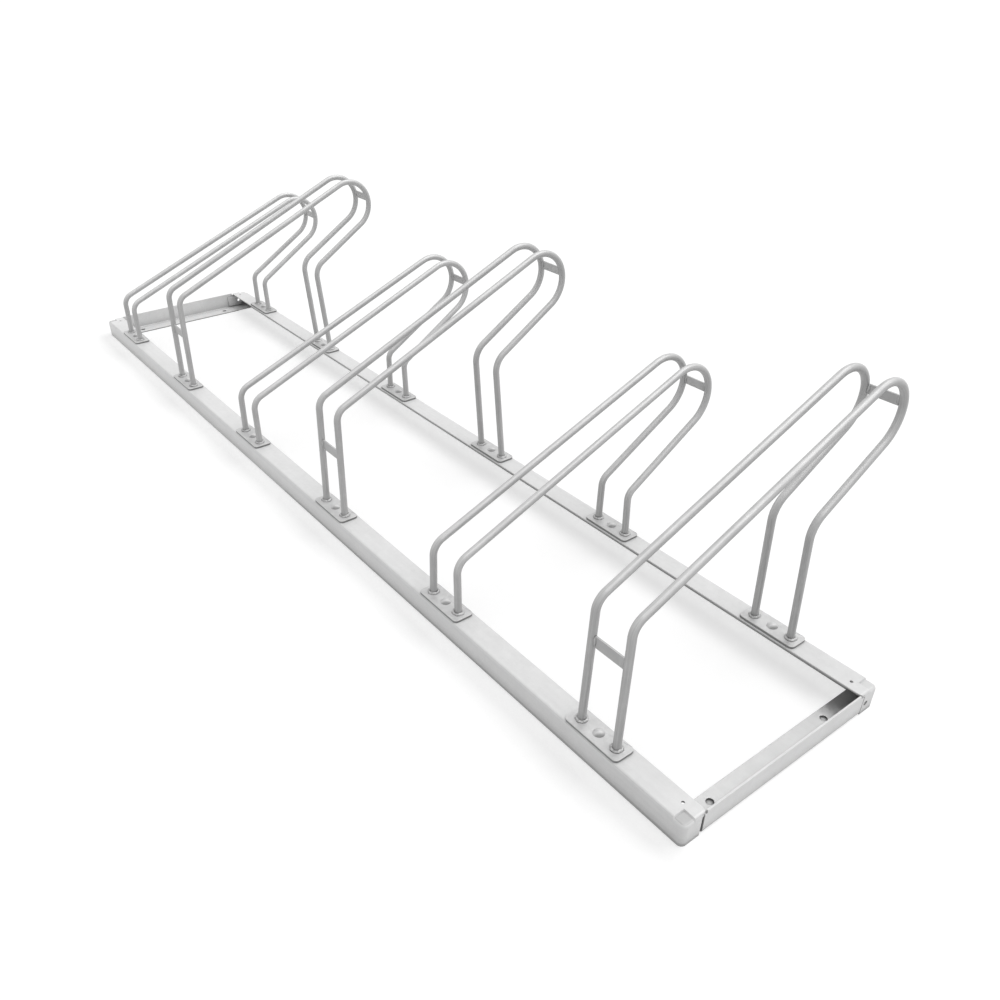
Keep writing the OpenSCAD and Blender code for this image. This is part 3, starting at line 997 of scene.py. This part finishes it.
LUMP_DEPTH = 0.3 * MM
# In each look below, the corner depth and its reach set the painted shade in corners and under
# things.
SHEET_LOOK = dict(
    tone=0.73,
    roughness=0.4,
    clouds=0.08,
    crystals=0.025,
    streaks=0.05,
    corner_shade=0.72,
    corner_shade_reach=34 * MM,
    bump=0.22,
)
ROD_LOOK = dict(
    tone=0.57,
    metallic=0.3,
    roughness=0.44,
    clouds=0.16,
    crystals=0.03,
    streaks=0.3,
    corner_shade=0.6,
    corner_shade_reach=9 * MM,
    bump=0.3,
)
PLATE_LOOK = dict(
    tone=0.625,
    metallic=0.3,
    roughness=0.44,
    clouds=0.2,
    crystals=0.08,
    streaks=0.06,
    corner_shade=0.75,
    corner_shade_reach=8 * MM,
    bump=0.5,
)
BOLT_LOOK = dict(
    tone=0.66,
    metallic=0.25,
    roughness=0.5,
    clouds=0.12,
    crystals=0.02,
    streaks=0.05,
    corner_shade=0.6,
    corner_shade_reach=5 * MM,
    bump=0.3,
)


def shared(tree, group, **given):
    made = node(tree, "ShaderNodeGroup", node_tree=group)
    for name, value in given.items():
        wire(tree, value, made.inputs[name])
    return made.outputs


def start_zinc(name):
    """A material with its object coordinates and surface direction taken apart."""
    m = bpy.data.materials.new(name)
    m.use_nodes = True
    tree = m.node_tree
    place = node(tree, "ShaderNodeTexCoord").outputs
    at = taken_apart(tree, place["Object"])
    facing = taken_apart(tree, place["Normal"])
    return m, tree, place["Object"], at, facing


def finish_zinc(m, place, lines_at, marks, look):
    """Puts coat, drag lines and painted corner shade together on the shader; marks multiply the
    tone, painted light and shade among them.
    """
    tree = m.node_tree
    shader = tree.nodes["Principled BSDF"]
    coat = shared(tree, MOTTLE, Vector=place, Clouds=look["clouds"], Crystals=look["crystals"])
    lines = shared(tree, STREAKS, Vector=lines_at, Depth=look["streaks"])
    # Painted shade: darker in corners and under things, by how open each point is.
    open_sky = open_share(tree, look["corner_shade_reach"], samples=6)
    corner_shade = shared(tree, CORNER_SHADE, Open=open_sky, Depth=look["corner_shade"])
    shade = times(tree, coat["Shade"], lines["Shade"])
    shade = times(tree, shade, corner_shade["Shade"])
    shade = times(tree, shade, marks)
    colour = node(tree, "ShaderNodeVectorMath", operation="SCALE")
    colour.inputs[0].default_value = [look["tone"]] * 3
    wire(tree, shade, colour.inputs["Scale"])
    wire(tree, colour.outputs[0], shader.inputs["Base Color"])
    wire(tree, look["metallic"], shader.inputs["Metallic"])
    wire(tree, plus(tree, coat["Roughness"], look["roughness"]), shader.inputs["Roughness"])
    lump = node(tree, "ShaderNodeBump")
    lump.inputs["Strength"].default_value = look["bump"]
    lump.inputs["Distance"].default_value = LUMP_DEPTH
    height = plus(tree, coat["Height"], times(tree, lines["Height"], 0.4))
    wire(tree, height, lump.inputs["Height"])
    wire(tree, lump.outputs["Normal"], shader.inputs["Normal"])
    return m


def upright_faces(tree, facing):
    return spread(tree, maths(tree, "ABSOLUTE", facing["Z"]), 0.35, 0.75, 1.0, 0.0)


def sheet_finish():
    """Folded sheet: painted shade on the flanges' inner edges, in the front corner pads and on the
    right floor flange, painted light on the far half and painted shade at the near end.
    """
    m, tree, place, at, facing = start_zinc("zinc_sheet")
    upright = upright_faces(tree, facing)
    y = maths(tree, "ABSOLUTE", at["Y"])
    # Painted shade on the upright inner edge of each rail's top flange.
    edge = between(tree, at["Z"], RAIL - SHEET, RAIL - 1.7 * MM, soft=0.3 * MM)
    inner = between(tree, y, FACE_Y - RAIL - 0.5 * MM, FACE_Y - FLAP, soft=0.5 * MM)
    edge = times(tree, edge, inner)
    marks = darkened(tree, 1.0, times(tree, edge, upright), by=0.42)
    # Painted shade in the lowered corner pads, strongest on the front rail's.
    pad_z = RAIL - PAD_DROP
    pad = between(tree, at["Z"], pad_z - 0.6 * MM, pad_z + 0.8 * MM, soft=0.6 * MM)
    pad = times(tree, pad, spread(tree, facing["Z"], 0.5, 0.9, 0.0, 1.0))
    pad = times(tree, pad, spread(tree, at["Y"], -1 * MM, 1 * MM, 1.0, 0.25))
    marks = darkened(tree, marks, pad, by=0.3)
    # Painted light: up to 5 % lighter towards the far end of the rack.
    marks = times(tree, marks, spread(tree, at["X"], -100 * MM, 400 * MM, 1.05, 1.0))
    # Painted shade: 5 % darker at the near end of the rack.
    near_end_shade = spread(tree, at["X"], 870 * MM, 960 * MM, 0.0, 1.0)
    marks = darkened(tree, marks, near_end_shade, by=0.05)
    # The right cross-member's floor flange: painted shade darkens it, and it is made more metallic.
    on_floor = spread(tree, at["Z"], SHEET + 1 * MM, SHEET + 3 * MM, 1.0, 0.0)
    on_floor = times(tree, on_floor, spread(tree, at["X"], -1 * MM, 1 * MM, 0.0, 1.0))
    marks = darkened(tree, marks, on_floor, by=0.24)
    metallic = node(tree, "ShaderNodeMix", data_type="FLOAT")
    wire(tree, upright, metallic.inputs["Factor"])
    wire(tree, spread(tree, on_floor, 0.0, 1.0, 0.12, 0.85), metallic.inputs["A"])
    metallic.inputs["B"].default_value = 0.2
    look = SHEET_LOOK | {"metallic": metallic.outputs["Result"]}
    lines_at = stretched(tree, place, (2.5, 130, 130))
    return finish_zinc(m, place, lines_at, marks, look)


def rod_finish():
    """Drawn rod: thin streaks that follow it round its bends, painted shade on its sides and
    underside, painted light towards the far end.
    """
    m, tree, place, at, facing = start_zinc("zinc_rod")
    rod_own = maths(tree, "ROUND", times(tree, at["X"], 14.0))
    lines_at = node(tree, "ShaderNodeCombineXYZ")
    wire(tree, times(tree, facing["X"], 5.0), lines_at.inputs[0])
    wire(tree, times(tree, at["Y"], 9.0), lines_at.inputs[1])
    lengthwise = plus(tree, times(tree, at["Z"], 9.0), times(tree, rod_own, 3.7))
    wire(tree, lengthwise, lines_at.inputs[2])
    # Painted shade on the rods' sides and undersides, leaving the tops lighter.
    side = spread(tree, facing["Z"], -0.1, 0.7, 1.0, 0.0)
    marks = darkened(tree, 1.0, side, by=0.27)
    # Painted light: up to 10 % lighter towards the far end of the rack.
    marks = times(tree, marks, spread(tree, at["X"], -900 * MM, 400 * MM, 1.1, 1.0))
    return finish_zinc(m, place, lines_at.outputs[0], marks, ROD_LOOK)


def plate_finish():
    """Sheared plate and its welds: painted shade on the plate's side faces, burnt patches darken
    the beads.
    """
    m, tree, place, at, facing = start_zinc("zinc_plate")
    upright = upright_faces(tree, facing)
    # Painted shade on the plate's upright side faces.
    below = spread(tree, at["Z"], PLATE_TOP - 0.9 * MM, PLATE_TOP - 0.3 * MM, 1.0, 0.0)
    marks = darkened(tree, 1.0, times(tree, upright, below), by=0.55)
    bead = spread(tree, at["Z"], PLATE_TOP + 0.1 * MM, PLATE_TOP + 0.5 * MM, 0.0, 1.0)
    burnt = noise(tree, place, scale=380, detail=3, roughness=0.6)
    burnt = spread(tree, burnt, 0.4, 0.62, 0.0, 1.0)
    marks = darkened(tree, marks, times(tree, bead, burnt), by=0.35)
    lines_at = stretched(tree, place, (60, 14, 60))
    return finish_zinc(m, place, lines_at, marks, PLATE_LOOK)


def bolt_finish():
    """Bolts, nuts and washers: painted shade, a dark crescent on the front-right side of each light
    dome.
    """
    m, tree, place, at, facing = start_zinc("zinc_bolt")
    # Painted shade on faces turned to the front right, away from the lamp, such as that side of
    # each dome.
    away = maths(tree, "SUBTRACT", times(tree, facing["X"], 0.88), times(tree, facing["Y"], 0.47))
    marks = darkened(tree, 1.0, spread(tree, away, 0.26, 0.62, 0.0, 1.0), by=0.5)
    lines_at = stretched(tree, place, (90, 90, 90))
    return finish_zinc(m, place, lines_at, marks, BOLT_LOOK)


FINISHES = {
    "zinc_sheet": sheet_finish(),
    "zinc_rod": rod_finish(),
    "zinc_plate": plate_finish(),
    "zinc_bolt": bolt_finish(),
}

for piece in [o for o in bpy.data.objects if o.name in DRESSED]:
    piece.data.materials.clear()
    piece.data.materials.append(FINISHES[DRESSED[piece.name]])

# studio ------------------------------------------------------------------

SKY_LIGHT = 0.55
SUN_FROM = Vector((0.6, 1.2, 3.2))
SUN_STRENGTH = 1.68
SUN_WIDTH = math.radians(60)
FLOOR_SIZE = 80
FLOOR_DROP = 0.4 * MM
FLOOR_TONE = 0.7
# Painted shade: the floor's tone seen through the anchor holes.
HOLE_SHADE_TONE = 0.3


def seen_rays(tree):
    """1 for rays that the camera, gloss or glass sends, 0 for light that falls on things."""
    path = node(tree, "ShaderNodeLightPath").outputs
    seen = maths(tree, "MAXIMUM", path["Is Camera Ray"], path["Is Glossy Ray"])
    return maths(tree, "MAXIMUM", seen, path["Is Transmission Ray"])


def world_light():
    world = bpy.data.worlds.new("studio")
    bpy.context.scene.world = world
    world.use_nodes = True
    tree = world.node_tree
    tree.nodes.clear()
    out = node(tree, "ShaderNodeOutputWorld")
    mix = node(tree, "ShaderNodeMixShader")
    wire(tree, seen_rays(tree), mix.inputs["Fac"])
    for socket, strength in ((1, SKY_LIGHT), (2, 1)):
        sky = node(tree, "ShaderNodeBackground")
        sky.inputs["Color"].default_value = (1, 1, 1, 1)
        sky.inputs["Strength"].default_value = strength
        wire(tree, sky.outputs[0], mix.inputs[socket])
    wire(tree, mix.outputs[0], out.inputs["Surface"])


def soft_sun():
    data = bpy.data.lights.new("overhead", "SUN")
    data.energy = SUN_STRENGTH
    data.angle = SUN_WIDTH
    lamp = bpy.data.objects.new("overhead", data)
    bpy.context.collection.objects.link(lamp)
    lamp.location = SUN_FROM
    lamp.rotation_euler = (-SUN_FROM).to_track_quat("-Z", "Y").to_euler()


def floor_finish():
    """Pale ground: painted shade inside the anchor holes, a painted shadow beside the front rail,
    and painted light that lifts the shade under and beside the rails.
    """
    m = bpy.data.materials.new("studio_floor")
    m.use_nodes = True
    tree = m.node_tree
    shader = tree.nodes["Principled BSDF"]
    shader.inputs["Roughness"].default_value = 1
    shader.inputs["Specular IOR Level"].default_value = 0
    shader.inputs["Emission Color"].default_value = (1, 1, 1, 1)
    near_sky = open_share(tree, 9 * MM, samples=8)
    wide_sky = open_share(tree, 70 * MM, samples=8)
    at = taken_apart(tree, node(tree, "ShaderNodeTexCoord").outputs["Object"])
    # Painted shade: the floor under the anchor holes is darker and does not glow.
    in_hole = spread(tree, near_sky, 0.68, 0.96, 1.0, 0.0)
    for axis, low, high in (("X", END_X - CROSS, END_X - FOLD_R), ("Y", 0.0, WEB_END_Y)):
        under_flange = between(tree, maths(tree, "ABSOLUTE", at[axis]), low, high, soft=1 * MM)
        in_hole = times(tree, in_hole, under_flange)
    tone = spread(tree, in_hole, 0.0, 1.0, FLOOR_TONE, HOLE_SHADE_TONE)
    wire(tree, tone, shader.inputs["Base Color"])
    # Painted light: the floor glows more for seen rays where it is hidden, lifting the shade under
    # and beside the rails.
    lift = spread(tree, wide_sky, 0.25, 0.75, 0.62, 0.34)
    # Painted shadow: a soft band of less glow just outside the front rail.
    outside = spread(tree, at["Y"], -FACE_Y - 25 * MM, -FACE_Y, 0.1, 0.0)
    half_open = between(tree, wide_sky, 0.74, 0.86, soft=0.12)
    lift = maths(tree, "SUBTRACT", lift, times(tree, half_open, outside))
    lift = darkened(tree, lift, in_hole, by=1.0)
    wire(tree, times(tree, lift, seen_rays(tree)), shader.inputs["Emission Strength"])
    return m


def studio_floor():
    floor = begin(
        bpy.ops.mesh.primitive_plane_add,
        "studio_floor",
        size=FLOOR_SIZE,
        location=(0, 0, -FLOOR_DROP),
    )
    done()
    floor.data.materials.append(floor_finish())


world_light()
soft_sun()
studio_floor()
